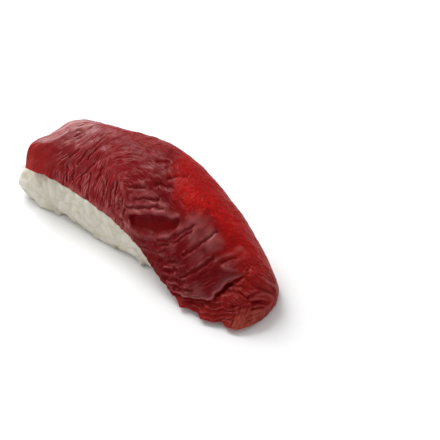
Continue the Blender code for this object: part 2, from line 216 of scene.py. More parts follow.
def grain_poses(core, lots):
    """Evenly spread grains on the core: middles, axes (long, wide, out) and half sizes."""
    mesh = core.data
    mesh.calc_loop_triangles()
    corners = np.array([vert.co for vert in mesh.vertices]) / MM - TO_ORIGIN
    tris = corners[np.array([tri.vertices for tri in mesh.loop_triangles])]
    cross = np.cross(tris[:, 1] - tris[:, 0], tris[:, 2] - tris[:, 0])
    area = np.linalg.norm(cross, axis=1)
    chosen = lots.choice(len(tris), GRAIN_TRIES, p=area / area.sum())
    s = np.sqrt(lots.random(GRAIN_TRIES))[:, None]
    t = lots.random(GRAIN_TRIES)[:, None]
    a, b, c = tris[chosen, 0], tris[chosen, 1], tris[chosen, 2]
    spots = a * (1 - s) + b * s * (1 - t) + c * s * t
    outs = cross[chosen] / area[chosen, None]
    kept = []
    for i in range(GRAIN_TRIES):
        if not kept or np.min(np.sum((spots[kept] - spots[i]) ** 2, axis=1)) > GRAIN_SPACING**2:
            kept.append(i)
    poses = []
    for i in kept:
        out = outs[i]
        near, far, _ = rice_lines(spots[i, 0], PALM_PROUD)
        from_end = spots[i, 0] - RICE_STATIONS[0] - END_TUCK
        inside = min(spots[i, 1] - near, far - spots[i, 1], from_end)
        if out[2] < UNDER_FACE and inside < UNDER_EDGE:
            continue
        lay = np.cross(out, lots.normal(size=3))
        if spots[i, 0] < END_TUCK_FROM and spots[i, 2] < LAID_FLAT_UNDER:
            lay[2] = 0.0
        lay = lay / np.linalg.norm(lay) + out * lots.normal(0, GRAIN_TILT)
        lay /= np.linalg.norm(lay)
        wide = np.cross(out, lay)
        wide /= np.linalg.norm(wide)
        axes = np.stack([lay, wide, np.cross(lay, wide)])
        middle = spots[i] - out * (GRAIN_SINK + lots.uniform(-GRAIN_LIFT, GRAIN_LIFT))
        poses.append((middle, axes, GRAIN_HALF * lots.uniform(*GRAIN_SIZES), spots[i], out))
    return poses


def grain_skin(middle, axes, half, spot, out):
    """One cooked grain: a long blunt ball, pressed flat where it stands out furthest."""
    turn = np.linspace(0, 2 * math.pi, GRAIN_SIDES, endpoint=False)
    points = [middle - axes[0] * half[0]]
    for share in np.cos(np.linspace(math.pi, 0, GRAIN_RINGS + 2)[1:-1]):
        swell = (1 - abs(share) ** GRAIN_BLUNT) ** 0.5
        ring = np.outer(np.cos(turn) * swell * half[1], axes[1])
        ring += np.outer(np.sin(turn) * swell * half[2], axes[2])
        points.extend(ring + middle + axes[0] * half[0] * share)
    points.append(middle + axes[0] * half[0])
    points = np.array(points)
    stand = (points - spot) @ out
    squeezed = GRAIN_PRESSED * np.tanh(stand / GRAIN_PRESSED)
    points += np.outer(np.where(stand > 0, squeezed - stand, 0.0), out)
    near, far, top = rice_lines(points[:, 0], PALM_PROUD)
    points[:, 1] = np.clip(points[:, 1], near, far)
    points[:, 2] = np.clip(points[:, 2], 0.0, top)
    faces = []
    for j in range(GRAIN_SIDES):
        after = (j + 1) % GRAIN_SIDES
        faces.append((0, 1 + after, 1 + j))
        last = 1 + (GRAIN_RINGS - 1) * GRAIN_SIDES
        faces.append((last + j, last + after, len(points) - 1))
        for i in range(GRAIN_RINGS - 1):
            first = 1 + i * GRAIN_SIDES
            second = first + GRAIN_SIDES
            faces.append((first + j, first + after, second + after, second + j))
    return points, faces


def apply_modifiers(item):
    """Bakes the object's modifiers into a mesh of its own."""
    graph = bpy.context.evaluated_depsgraph_get()
    result = bpy.data.meshes.new_from_object(item.evaluated_get(graph))
    item.modifiers.clear()
    item.data = result


def store(mesh, name, values):
    """Stores a mark, one value a point, for the material to read."""
    layer = mesh.attributes.new(name, "FLOAT", "POINT")
    layer.data.foreach_set("value", np.asarray(values, np.float32))


def grain_marks(item, poses, lots):
    """Marks each point of the skin with the seams between grains and its own grain's tone."""
    mesh = item.data
    points = np.empty(len(mesh.vertices) * 3)
    mesh.vertices.foreach_get("co", points)
    points = points.reshape(-1, 3) / MM - TO_ORIGIN
    tones = lots.random(len(poses))
    first = np.full(len(points), FAR_OFF)
    second = np.full(len(points), FAR_OFF)
    tone = np.zeros(len(points))
    for (middle, axes, half, _, _), shade in zip(poses, tones):
        near = np.where(np.abs(points - middle).max(axis=1) < 2 * half[0])[0]
        away = np.linalg.norm((points[near] - middle) @ axes.T / half, axis=1)
        closer = away < first[near]
        second[near] = np.where(closer, first[near], np.minimum(second[near], away))
        first[near] = np.where(closer, away, first[near])
        tone[near] = np.where(closer, shade, tone[near])
    store(mesh, "seam", bell(second - first, SEAM_HALF))
    store(mesh, "grain_tone", tone)
    nook = np.zeros(len(points))
    for *place, reach in NOOKS:
        away = np.linalg.norm(points - place, axis=1)
        nook = np.maximum(nook, bell(away, reach))
    store(mesh, "nook", nook)


class Wire:
    """One socket of a material. Arithmetic on it adds the Math nodes of that expression."""

    def __init__(self, tree, socket=None):
        self.tree = tree
        self.socket = socket

    def add(self, kind, sockets, out=0, **settings):
        """Any node with its settings, and the values or links of its sockets."""
        node = self.tree.nodes.new(kind)
        for name, value in settings.items():
            setattr(node, name, value)
        for name, value in sockets.items():
            if isinstance(value, Wire):
                self.tree.links.new(value.socket, node.inputs[name])
            else:
                node.inputs[name].default_value = value
        return Wire(self.tree, node.outputs[out] if node.outputs else None)

    def maths(self, operation, first, second=0.0):
        return self.add("ShaderNodeMath", {0: first, 1: second}, operation=operation)

    def __add__(self, other):
        return self.maths("ADD", self, other)

    def __sub__(self, other):
        return self.maths("SUBTRACT", self, other)

    def __mul__(self, other):
        return self.maths("MULTIPLY", self, other)

    def __rsub__(self, other):
        return self.maths("SUBTRACT", other, self)

    __radd__ = __add__
    __rmul__ = __mul__

    def clamped(self):
        return self.add("ShaderNodeClamp", {"Value": self})

    def mark(self, name):
        """A value stored on the mesh."""
        return self.add("ShaderNodeAttribute", {}, "Fac", attribute_name=name)

    def noise(self, size, detail):
        """Noise with lumps of about this size in metres, -1 to 1, fixed to the piece."""
        place = self.add("ShaderNodeTexCoord", {}, "Object")
        sockets = {"Vector": place, "Scale": 1 / size, "Detail": detail}
        return self.add("ShaderNodeTexNoise", sockets) * 2.0 - 1.0

    def noise_over(self, x, y, z, roughness):
        """Noise over values of the surface's own, 0 to 1."""
        place = self.add("ShaderNodeCombineXYZ", {"X": x, "Y": y, "Z": z})
        sockets = {"Vector": place, "Scale": 1.0, "Detail": 1.0, "Roughness": roughness}
        return self.add("ShaderNodeTexNoise", sockets)

    def mixed(self, share, first, second):
        """A colour between two, by a share from 0 to 1."""
        sockets = {0: share, 6: first, 7: second}
        return self.add("ShaderNodeMix", sockets, 2, data_type="RGBA", clamp_factor=True)

    def bump(self, height, strength, distance):
        """Light and shade as if the surface had this height."""
        sockets = {"Height": height, "Strength": strength, "Distance": distance}
        return self.add("ShaderNodeBump", sockets)

    def finish(self, sockets):
        """The surface itself, a Principled one with these values and links."""
        surface = self.add("ShaderNodeBsdfPrincipled", sockets)
        self.add("ShaderNodeOutputMaterial", {"Surface": surface})


def blank_material(name, colour):
    """A material with no nodes, its colour for a view without them, and a wire to add them."""
    material = bpy.data.materials.new(name)
    material.use_nodes = True
    material.diffuse_color = colour
    material.node_tree.nodes.clear()
    return material, Wire(material.node_tree)


def vinegared_rice():
    """Cooked rice: milky, moist, a little see-through, with a painted shade, darker and yellower, in the
    seams between grains.
    """
    material, wire = blank_material("vinegared_rice", (0.66, 0.62, 0.52, 1.0))
    seam = wire.mark("seam")
    tone = wire.mark("grain_tone")
    cloud = wire.noise(0.007, 1.0)
    grain = wire.mixed(tone * 0.5 + cloud * 0.4 + 0.2, MILKY_GRAIN, PALE_GRAIN)
    # Painted shade: the seams between grains are darkened towards a dull beige
    colour = wire.mixed(seam * 0.36, grain, SEAM_SHADE_BEIGE)
    # Painted shade in the nooks at the block's foot
    colour = wire.mixed(wire.mark("nook") * 0.8, colour, NOOK_SHADE_BROWN)
    fine = wire.noise(0.0009, 3.0)
    sockets = {
        "Base Color": colour,
        "Roughness": fine * 0.08 + 0.42 + seam * 0.15,
        "Normal": wire.bump(fine * 0.5, 0.35, 0.00015),
        "IOR": 1.38,
        "Subsurface Weight": 0.35,
        "Subsurface Radius": (1.0, 0.85, 0.6),
        "Subsurface Scale": 0.0012,
    }
    wire.finish(sockets)
    return material


# The slice's lines across its stations, which the rice is cut back to: its near lip, the ridge
# between side and top, its crest, its back and its far hem, each across and up
STATIONS = (-34.2, -31.5, -28.0, -24.0, -18.0, -11.0, -3.0, 6.0, 14.0, 21.0, 27.0, 32.0, 36.0, 38.0)
LIP_Y = (-11.0, -10.7, -10.1, -9.8, -9.7, -10.0, -10.7, -12.1, -14.1, -15.2, -15.2, -14.3, -12.8, -9.8)
LIP_Z = (10.9, 10.9, 11.0, 10.9, 10.6, 10.2, 9.2, 7.0, 3.6, 1.4, 1.2, 1.2, 1.2, 1.0)
RIDGE_Y = (-8.6, -6.5, -4.0, -1.0, 0.8, -2.8, -7.8, -9.8, -11.4, -12.6, -12.4, -11.4, -9.6, -8.0)
RIDGE_Z = (16.4, 16.8, 17.8, 19.4, 20.8, 19.4, 15.6, 12.9, 10.3, 8.1, 6.8, 5.8, 4.6, 2.8)
CREST_Y = (-1.5, 0.5, 1.8, 3.2, 4.6, 4.0, 2.6, 2.0, 1.2, 0.0, -1.6, -3.0, -4.6, -5.5)
CREST_Z = (15.8, 17.6, 20.0, 21.2, 22.0, 22.6, 22.8, 22.1, 20.2, 17.6, 14.4, 11.0, 7.2, 3.4)
BACK_Y = (5.4, 6.4, 7.4, 7.6, 8.0, 8.6, 9.0, 8.6, 7.5, 6.1, 4.4, 2.6, 0.2, -2.4)
BACK_Z = (14.8, 16.9, 18.0, 18.7, 19.8, 21.1, 21.7, 20.5, 17.8, 14.8, 11.5, 8.4, 5.4, 3.0)
HEM_Y = (8.6, 9.4, 10.2, 10.6, 11.2, 11.8, 11.8, 11.4, 10.6, 9.4, 7.8, 5.6, 2.4, -1.2)
HEM_Z = (10.0, 9.9, 9.8, 9.7, 9.6, 9.4, 9.0, 8.4, 6.8, 4.8, 2.8, 1.8, 1.2, 1.0)
ROWS_Y = (LIP_Y, RIDGE_Y, CREST_Y, BACK_Y, HEM_Y)
ROWS_Z = (LIP_Z, RIDGE_Z, CREST_Z, BACK_Z, HEM_Z)
# How thick the slice is, how its lips round and thin out, and where its thickness points
THICKNESS = (5.0, 5.6, 6.2, 6.6, 7.0, 7.2, 7.0, 6.8, 6.8, 7.0, 7.2, 7.4, 8.0, 8.0)
LIP_ROUND = 4.0
LIP_TAPER = 9.0
LIP_SHARE = 0.55
AIM_SPREAD = 0.35
AIM_DROP = 1.4
# The rice is cut clear of the slice, and away outside it
CUT_BACK = 0.08
CUT_OUTSIDE = 2.5
CUT_ROWS = 90
CUT_OUTER = 60
CUT_INNER = 24


def outer_line(x, count, crowd=0.0):
    """Points (y, z) of the slice's outer line at x, and the way of each up from the lip."""
    knots_y = np.array([float(along(x, STATIONS, row)) for row in ROWS_Y])
    knots_z = np.array([float(along(x, STATIONS, row)) for row in ROWS_Z])
    ways = np.concatenate([[0.0], np.cumsum(np.hypot(np.diff(knots_y), np.diff(knots_z)))])
    shares = np.linspace(0.0, 1.0, count)
    up = ways[-1] * shares * (1 - crowd + crowd * shares)
    return along(up, ways, knots_y), along(up, ways, knots_z), up


def inner_line(x, y, z, up, count):
    """The slice's inner line, from the hem back to the lip, at the slice's own thickness."""
    edge = np.minimum(up, up[-1] - up)
    nose = np.sqrt(1 - (1 - np.clip(edge / LIP_ROUND, 0, 1)) ** 2)
    deep = float(along(x, STATIONS, THICKNESS)) * nose
    deep *= LIP_SHARE + (1 - LIP_SHARE) * np.clip(edge / LIP_TAPER, 0, 1)
    aim = 0.5 + (up / up[-1] - 0.5) * AIM_SPREAD
    aim_y = y[0] + (y[-1] - y[0]) * aim
    aim_z = np.maximum(z[0] + (z[-1] - z[0]) * aim - AIM_DROP, 0.0)
    share = np.minimum(deep / np.hypot(aim_y - y, aim_z - z), 1.0)
    pick = np.linspace(0, len(y) - 1, count + 2)[1:-1][::-1]
    order = np.arange(len(y))
    inner_y = np.interp(pick, order, y + (aim_y - y) * share)
    inner_z = np.interp(pick, order, z + (aim_z - z) * share)
    return inner_y, np.maximum(inner_z, 0.0)


def clearance_loop(x):
    """The slice's plain loop moved out all round: a little inside, further outside."""
    y, z, up = outer_line(x, CUT_OUTER)
    inner_y, inner_z = inner_line(x, y, z, up, CUT_INNER)
    ys = np.concatenate([y, inner_y])
    loop = np.stack([np.full(len(ys), x), ys, np.concatenate([z, inner_z])], 1)
    run = np.roll(loop, -1, axis=0) - np.roll(loop, 1, axis=0)
    run /= np.linalg.norm(run, axis=1, keepdims=True)
    extra = np.where(np.arange(len(loop)) < CUT_OUTER, CUT_OUTSIDE, CUT_BACK)
    wide = loop.copy()
    wide[:, 1] -= run[:, 2] * extra
    wide[:, 2] += run[:, 1] * extra
    for end, inward in ((0, 1), (CUT_OUTER - 1, -1)):
        wide[end] = loop[end] - (0, inward * CUT_OUTSIDE, CUT_BACK)
    return wide


def clearance_skin():
    """Points and faces of the room that the slice takes up in the rice."""
    xs = np.linspace(STATIONS[0], STATIONS[-1], CUT_ROWS)
    loops = [clearance_loop(x) for x in xs]
    loops[0][:, 0] -= CUT_BACK
    loops[-1][:, 0] += CUT_BACK
    return capped_loft(loops)


rice_lots = np.random.default_rng(RICE_SEED)
points, faces = rice_core_skin()
core = skin_object("rice_core", points, faces)
poses = grain_poses(core, rice_lots)
all_points = [points]
all_faces = list(faces)
start = len(points)
for pose in poses:
    grain_points, grain_faces = grain_skin(*pose)
    all_points.append(grain_points)
    all_faces.extend(tuple(start + k for k in face) for face in grain_faces)
    start += len(grain_points)
bpy.data.objects.remove(core, do_unlink=True)
rice = skin_object("pressed_rice", np.concatenate(all_points), all_faces)
skin = rice.modifiers.new("skin", "REMESH")
skin.mode = "VOXEL"
skin.voxel_size = RICE_SKIN * MM
soften = rice.modifiers.new("soften", "SMOOTH")
soften.factor = SOFTEN_SHARE
soften.iterations = SOFTEN_TIMES
apply_modifiers(rice)
hollow = skin_object("slice_hollow", *clearance_skin())
cut = rice.modifiers.new("cut", "BOOLEAN")
cut.operation = "DIFFERENCE"
cut.solver = "MANIFOLD"
cut.object = hollow
apply_modifiers(rice)
bpy.data.objects.remove(hollow, do_unlink=True)
grain_marks(rice, poses, rice_lots)
rice.data.shade_smooth()
rice.data.materials.clear()
rice.data.materials.append(vinegared_rice())
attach(rice, "root")
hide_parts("rice")

# The tuna slice
# One slice of raw red tuna, cut slantwise across the grain of the loin and pressed over the
# rice. Its muscle runs in fine strands that part in slits where it bends, and the near end is
# torn: a flap ends short, and folded meat shows beyond it down to the board.

# Points along the slice, over its outer face, under its inner face and over its cut ends, and
# how much they crowd together at the lip
SLICE_ROWS = 440
SLICE_OUTER = 200
SLICE_INNER = 16
END_RINGS = 8
SLICE_CROWD = 0.3
# The cut faces: how far they round over, where their middle line starts, and their marks
END_ROUND = 0.6
MIDDLE_FROM = 8
PULL_MOST = 0.45
# The far cut face takes the painted light of the lit left end and some painted glow of the far end
CUT_FACE_MARKS = {"left": 0.6, "far": 0.3}
TORN_FACE_MARKS = {"torn": 1.0, "tip": 0.3, "fibre": 0.5}
# The forms fade out towards the slice's edges
LIP_FLAT = 1.5
LIP_LEAST = 0.15
# Lines traced over the face, each a chain of places: along the slice, then up from its lip.
# First the short slits of the side, then the long creases, then the thin pale ridges.
SIDE_SLITS = (
    (-23.4, 5.1, -22.6, 3.2, -21.5, 1.5), (-21.3, 5.3, -20.0, 2.2), (-18.2, 4.6, -16.8, 0.9),
    (-16.3, 8.4, -17.3, 5.4), (-15.7, 5.7, -14.4, 2.0), (-13.1, 8.8, -13.0, 5.0),
    (-10.9, 6.0, -9.5, 4.0), (-10.0, 6.9, -9.5, 3.7), (-7.7, 7.5, -7.7, 5.2, -6.5, 2.3),
    (-6.7, 8.3, -5.6, 4.3), (-3.6, 5.6, -3.7, 3.5), (-1.5, 4.9, -1.6, 2.1),
    (-22.2, 9.2, -23.7, 6.7), (-19.7, 9.9, -20.7, 6.2), (-17.7, 11.4, -18.3, 8.5),
)
SLIT_HALF = 0.34
SLIT_DEPTH = 0.3
GROOVES = (
    (0.4, 8.9, 3.3, 10.9, 6.1, 12.5), (-1.3, 5.7, 1.8, 7.8, 5.5, 10.5, 8.0, 12.4),
    (-2.6, 9.8, 1.3, 12.2), (5.3, 17.7, 8.5, 22.4), (0.0, 19.0, 2.3, 20.9), (3.6, 14.8, 7.6, 17.1),
    (10.3, 6.6, 13.3, 9.8, 16.1, 14.3, 17.1, 16.2), (12.4, 7.9, 15.3, 11.4, 17.3, 14.8),
    (22.4, 18.3, 20.8, 14.1, 18.0, 10.1), (24.8, 13.0, 22.3, 9.0, 19.4, 5.5),
    (14.7, 3.2, 17.8, 6.0), (18.0, 2.0, 23.2, 4.6), (10.0, 5.3, 13.6, 9.2),
    (26.9, 13.0, 28.9, 15.0), (12.6, 3.4, 17.2, 7.8), (15.0, 1.5, 20.9, 5.4),
)
GROOVE_HALF = 0.42
GROOVE_DEPTH = 0.4
THREADS = (
    (-17.9, 16.7, -13.7, 18.8, -8.3, 23.0), (-16.3, 15.3, -12.7, 19.3, -9.5, 20.8),
    (-14.4, 14.2, -11.7, 16.9, -11.0, 18.5, -8.3, 21.8), (-5.7, 19.8, -3.5, 22.0, -2.6, 24.8),
    (-15.9, 14.7, -11.9, 16.0, -9.6, 19.1), (-1.7, 22.3, 1.8, 23.3, 3.9, 23.2),
    (-0.6, 20.8, 3.0, 21.5), (-8.5, 13.3, -3.7, 15.6), (-5.1, 13.3, 0.3, 16.8),
    (-7.6, 10.3, 0.7, 15.0, 2.9, 16.1), (-4.1, 10.0, 0.5, 12.6),
    (-11.2, 11.9, -8.7, 10.4, -6.5, 9.3, -4.1, 7.9), (-4.6, 20.2, -2.1, 21.6),
    (-8.4, 15.4, -5.0, 17.5), (3.7, 20.0, 6.3, 21.3),
    (0.9, 2.4, 7.2, 5.7, 12.0, 10.8, 13.3, 13.6, 15.7, 16.8), (9.7, 6.0, 13.0, 10.0),
    (12.6, 7.6, 15.6, 11.7), (13.9, 6.5, 17.9, 10.8), (15.6, 3.0, 21.7, 7.2),
    (18.4, 0.7, 24.1, 3.8), (17.0, 2.1, 22.0, 5.1),
)
THREAD_HALF = 0.34
THREAD_PROUD = 0.09
# Wet patches, with a painted sheen in the colour as well as a wet coat: along, up, how far they reach
# and how much they shine
SHEENS = (
    (18.6, 16.0, 3.9, 0.85), (23.1, 16.0, 2.4, 1.0), (20.8, 17.2, 1.9, 1.0),
    (21.6, 11.6, 2.2, 0.45), (14.2, 9.4, 1.8, 0.4), (1.8, 11.6, 1.6, 0.6), (8.0, 12.4, 1.5, 0.6),
    (15.2, 13.0, 1.6, 0.5), (24.5, 5.5, 2.2, 0.5), (-31.0, 14.0, 4.0, 0.35),
    (-24.5, 15.5, 4.0, 0.4), (-17.5, 18.0, 3.5, 0.25),
)
# The deep hollow: the ends of its upper edge, its reach below that edge, and its depth
HOLLOW = (0.1, 4.5, 14.0, 15.0)
HOLLOW_ALONG = (-0.3, 0.3, 2.4, 6.2, 9.7, 13.5, 15.0, 17.4)
HOLLOW_REACH = (0.0, 2.2, 3.6, 3.85, 3.6, 2.7, 2.05, 0.0)
HOLLOW_DEPTH = 0.9
# Soft ridges round the hollow, painted pale as a sheen on them: how strong each is, then its chain of
# places
BANDS = (
    (1.0, -1.4, 4.2, -0.4, 5.2, 3.1, 7.7, 5.4, 9.7, 8.0, 11.6, 10.6, 13.3, 12.7, 14.6),
    (0.9, -5.4, 9.2, -3.7, 7.9, -2.3, 6.8, -0.6, 6.6, 2.3, 8.6, 5.4, 11.0),
    (0.6, -1.0, 8.4, 0.4, 10.0, 3.2, 12.0, 5.3, 13.4),
    (0.9, 6.9, 12.6, 9.5, 13.8),
    (0.9, -2.3, 2.9, -0.5, 2.3, 1.6, 2.3, 4.2, 2.5, 7.4, 4.7, 10.0, 7.1, 12.5, 10.0),
    (0.5, 12.5, 10.0, 14.4, 13.6, 16.4, 16.5),
    (0.4, 9.9, 5.5, 13.4, 9.5, 16.2, 12.7),
    (0.8, 25.6, 12.9, 26.6, 14.2, 28.0, 16.0, 28.4, 18.4),
    (0.8, 28.6, 12.6, 29.4, 14.2, 29.9, 15.8, 29.3, 18.0),
    (0.9, 28.0, 11.9, 30.2, 12.5),
)
BAND_HALF = 0.55
BAND_PROUD = 0.17
# Where the cut end stands out: along, up, reach and how far
CORNERS = ((-34.2, 4.6, 2.6, 0.8), (-31.5, 16.0, 3.0, 0.7))
# The flap's torn rim as a chain of places, and the step down beyond it
FLAP = (
    17.5, 0.8, 20.5, 2.1, 24.1, 3.0, 26.8, 3.9, 28.3, 4.7, 28.9, 6.9, 29.7, 9.1, 31.5, 11.1,
    32.3, 12.4,
)
FLAP_STEP = 1.5
FLAP_SLOPE = 0.5
FLAP_FADE = 5.0
# Folds of torn meat beyond the flap: half width, how far each stands, then its chain of places
FOLDS = (
    (1.2, 1.1, 30.9, 6.0, 32.2, 6.1, 33.6, 6.5),
    (0.85, 1.0, 31.6, 9.9, 32.6, 10.5, 34.0, 10.3, 35.1, 9.3),
    (0.8, 0.9, 31.6, 8.5, 32.9, 8.9, 34.6, 8.3),
    (0.8, 0.9, 36.2, 7.6, 36.2, 8.4, 36.8, 9.0, 37.4, 8.4, 37.9, 6.7, 37.9, 3.4),
    (0.45, 0.45, 34.4, 5.4, 36.2, 0.9),
    (0.45, 0.45, 35.1, 5.9, 37.0, 0.3),
    (0.4, 0.4, 35.9, 5.8, 37.5, 1.2),
    (1.3, 0.7, 33.4, 12.6, 35.8, 11.6),
)
# Small pits between the folds: along, up, reach and depth
PITS = (
    (29.8, 7.4, 1.4, 1.1), (30.7, 9.7, 0.9, 0.8), (36.9, 6.2, 0.6, 0.8), (37.2, 4.5, 0.5, 0.6),
    (33.4, 5.0, 0.6, 0.5), (35.5, 7.6, 0.5, 0.5),
)
# The ragged lip of the near end: where it starts, its tips and its nicks
RAGGED_FROM = 19.0
RAGGED_FADE = 2.5
RAGGED_LEAST = 0.36
RAGGED_OUT = 0.6
RAGGED_TIP = 21.2
RAGGED_PITCH = 0.85
NICK_OUT = 0.2
NICK_PITCH = 2.1
RAGGED_UP = 3.6
# The lip's soft waves over the rice
LIP_WAVE_OUT = 0.3
LIP_WAVE_LONG = 2.1
LIP_WAVE_SHORT = 0.84
LIP_WAVE_UP = 3.0
# Where the side turns over into the top, and where the bright red of the far side begins, partly a
# painted glow of light through the meat
RIDGE_X = (-34.0, -24.0, -16.9, -12.4, -7.7, -3.6, -0.8, 1.2, 2.7, 5.0)
RIDGE_UP = (24.0, 18.0, 15.0, 12.7, 10.3, 7.7, 5.0, 3.4, 2.1, 0.0)
BRIGHT_X = (1.0, 5.0, 8.0, 14.0, 17.0, 18.5, 21.0, 23.3, 26.0, 28.3, 30.5, 34.0)
BRIGHT_UP = (26.0, 19.0, 16.6, 15.8, 16.9, 18.6, 18.8, 16.8, 15.2, 13.4, 12.0, 11.0)
BRIGHT_FADE = 16
# How far the fine forms of the face stand out
PARTING_DEPTH = 0.22
STRAND_PROUD = 0.045
SIDE_STRAND_PROUD = 0.02
STRIP_PROUD = 0.34
FIBRE_PROUD = 0.18
SHRED_PROUD = 0.09
LUMP_PROUD = 0.5
SMALL_LUMP_PROUD = 0.12
BEAD_PROUD = 0.2
WAVE_PROUD = 0.05
WAVE_PITCH = 3.1
SWELL_PROUD = 0.14
SMALL_SWELL_PROUD = 0.05
NUB_PROUD = 0.012
BRIGHT_NUB_PROUD = 0.035
# Steps of the grid over which a place is high or low beside what is round it
RELIEF_REACH = 4
NOWHERE = 1e9
DRIFT_CELLS = 128
SLICE_SEED = 40


def drift(a, b, seed):
    """Smooth seeded noise over two coordinates, about -1 to 1 with lumps one unit wide."""
    lots = np.random.default_rng(SLICE_SEED + seed)
    turns = lots.uniform(0, 2 * math.pi, (DRIFT_CELLS, DRIFT_CELLS))
    a0 = np.floor(a).astype(int)
    b0 = np.floor(b).astype(int)
    fa = a - a0
    fb = b - b0
    wa = fa**3 * (fa * (6 * fa - 15) + 10)
    wb = fb**3 * (fb * (6 * fb - 15) + 10)

    def corner(da, db):
        turn = turns[(a0 + da) % DRIFT_CELLS, (b0 + db) % DRIFT_CELLS]
        return np.cos(turn) * (fa - da) + np.sin(turn) * (fb - db)

    low = corner(0, 0) * (1 - wa) + corner(1, 0) * wa
    high = corner(0, 1) * (1 - wa) + corner(1, 1) * wa
    return (low * (1 - wb) + high * wb) * 1.6


def rise(value, low, high):
    """0 below low, 1 above high, smooth between."""
    t = np.clip((value - low) / (high - low), 0, 1)
    return t * t * (3 - 2 * t)


def chain_distance(x, up, chain):
    """How far each place is from the nearest line of a chain, given as along, up, along, up."""
    nearest = np.full(x.shape, NOWHERE)
    for i in range(0, len(chain) - 2, 2):
        from_x = x - chain[i]
        from_up = up - chain[i + 1]
        run = np.subtract(chain[i + 2 : i + 4], chain[i : i + 2])
        share = np.clip((from_x * run[0] + from_up * run[1]) / run.dot(run), 0.0, 1.0)
        nearest = np.minimum(nearest, np.hypot(from_x - share * run[0], from_up - share * run[1]))
    return nearest


def traced(x, up, chains, half):
    """1 on the middle of any of the chains, fading out over the half width."""
    return bell(np.min([chain_distance(x, up, chain) for chain in chains], axis=0), half)


def blurred(values, reach):
    """The values smoothed over so many steps of the grid each way."""
    weights = np.hanning(2 * reach + 3)[1:-1]
    weights /= weights.sum()
    for axis in (0, 1):
        pads = [(0, 0), (0, 0)]
        pads[axis] = (reach, reach)
        padded = np.pad(values, pads, mode="edge")
        count = values.shape[axis]
        values = sum(w * np.take(padded, range(i, i + count), axis) for i, w in enumerate(weights))
    return values


def beyond_flap(x, up):
    """How far a place lies beyond the flap's rim, and how far short of it on the flap."""
    nearest = chain_distance(x, up, FLAP)
    rim = along(x, FLAP[::2], FLAP[1::2])
    torn = ((up < rim) | (x > FLAP[-2])) & (x > FLAP[0])
    return np.where(torn, nearest, 0.0), np.where(torn, NOWHERE, nearest)


def slits(across, length, width, seed):
    """Thin dark partings that run along the strands, 1 in a parting and 0 beside it."""
    return bell(drift(across, length, seed), width)


def crests(across, length, seed):
    """Strands with a sharp light crest, -1 to 1."""
    return 1 - 2 * np.abs(drift(across, length, seed))


def shingles(across, length, seed):
    """Thin layers that overlap like shingles, each with its edge towards the lower lip."""
    wander = across + 0.45 * drift(across * 0.6, length, seed)
    part = wander - np.floor(wander)
    return np.where(part < 0.16, part / 0.16, (1 - part) / 0.84)


